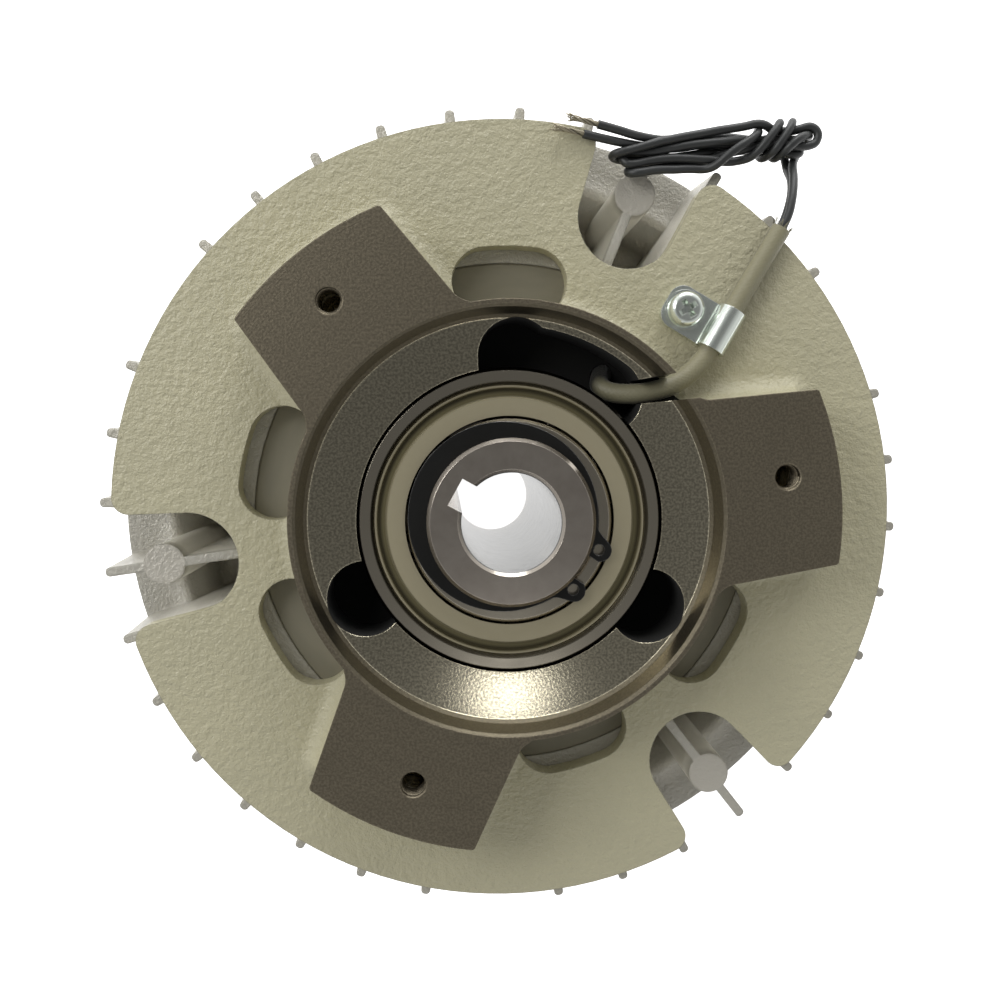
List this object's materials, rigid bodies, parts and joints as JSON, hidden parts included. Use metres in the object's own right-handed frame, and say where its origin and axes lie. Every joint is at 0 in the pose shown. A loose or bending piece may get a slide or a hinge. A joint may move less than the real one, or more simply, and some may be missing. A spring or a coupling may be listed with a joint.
{
  "type": "magnetic powder brake",
  "caption": "Magnetic powder brake with a keyed hollow shaft, a cast mounting face with tapped pads, and a finned aluminium housing; two leads end in a tied hank.",
  "frame": {"origin": "on the shaft's axis, in the plane of the three mounting pads", "axes": "+Z along the shaft, out of the mounting face; the brake lies on its finned front, at -Z; +Y points to the side where the leads lie"},
  "size_m": [0.18, 0.18, 0.09],
  "materials": {
    "cream_paint": "textured paint, satin",
    "soft_iron": "turned, lightly oiled",
    "brass": "turned",
    "bobbin_plastic": "moulded",
    "copper": "enamelled wire",
    "powder": "fine powder",
    "seal_rubber": "moulded",
    "cast_aluminium": "as cast",
    "bearing_steel": "ground",
    "shield_plastic": "moulded",
    "cage_plastic": "moulded",
    "black_steel": "blackened spring steel",
    "shaft_steel": "turned",
    "dark_steel": "blackened",
    "zinc_steel": "zinc plated",
    "braid": "braided glass fibre",
    "lead_rubber": "insulation",
    "tinned_copper": "tinned strands"
  },
  "bodies": {
    "stator": {"mount_housing": "cream_paint", "yoke_rear": "soft_iron", "yoke_front": "soft_iron", "yoke_screws": "dark_steel", "gap_ring": "brass", "coil_bobbin": "bobbin_plastic", "coil_winding": "copper", "magnetic_powder": "powder", "rear_seal": "seal_rubber", "front_seal": "seal_rubber", "finned_housing": "cast_aluminium", "housing_bolts": "dark_steel", "cable_clip": "zinc_steel", "clip_screw": "zinc_steel", "clip_washer": "zinc_steel", "lead_sleeve": "braid", "lead_a": "lead_rubber", "lead_b": "lead_rubber", "lead_hank": "lead_rubber", "lead_end_a": "lead_rubber", "lead_end_b": "lead_rubber", "strands_a": "tinned_copper", "strands_b": "tinned_copper", "rear_bearing_outer_ring": "bearing_steel", "rear_bearing_shields": "shield_plastic", "front_bearing_outer_ring": "bearing_steel", "front_bearing_shields": "shield_plastic"},
    "rotor": {"hollow_shaft": "shaft_steel", "rotor_drum": "soft_iron", "rear_circlip": "black_steel", "front_circlip": "black_steel", "rear_bearing_inner_ring": "bearing_steel", "front_bearing_inner_ring": "bearing_steel"},
    "rear_rolling_set": {"rear_bearing_balls": "bearing_steel", "rear_bearing_cage": "cage_plastic"},
    "front_rolling_set": {"front_bearing_balls": "bearing_steel", "front_bearing_cage": "cage_plastic"}
  },
  "joints": [
    {"name": "shaft_spin", "type": "hinge", "parent": "stator", "child": "rotor", "pos_m": [0, 0, -0.045], "axis": [0, 0, 1], "continuous": true},
    {"name": "rear_set_spin", "type": "hinge", "parent": "stator", "child": "rear_rolling_set", "pos_m": [0, 0, -0.0125], "axis": [0, 0, 1], "continuous": true},
    {"name": "front_set_spin", "type": "hinge", "parent": "stator", "child": "front_rolling_set", "pos_m": [0, 0, -0.077], "axis": [0, 0, 1], "continuous": true}
  ],
  "couplings": [
    {"joint": "rear_set_spin", "follows": "shaft_spin", "ratio": 0.4181},
    {"joint": "front_set_spin", "follows": "shaft_spin", "ratio": 0.4181}
  ]
}
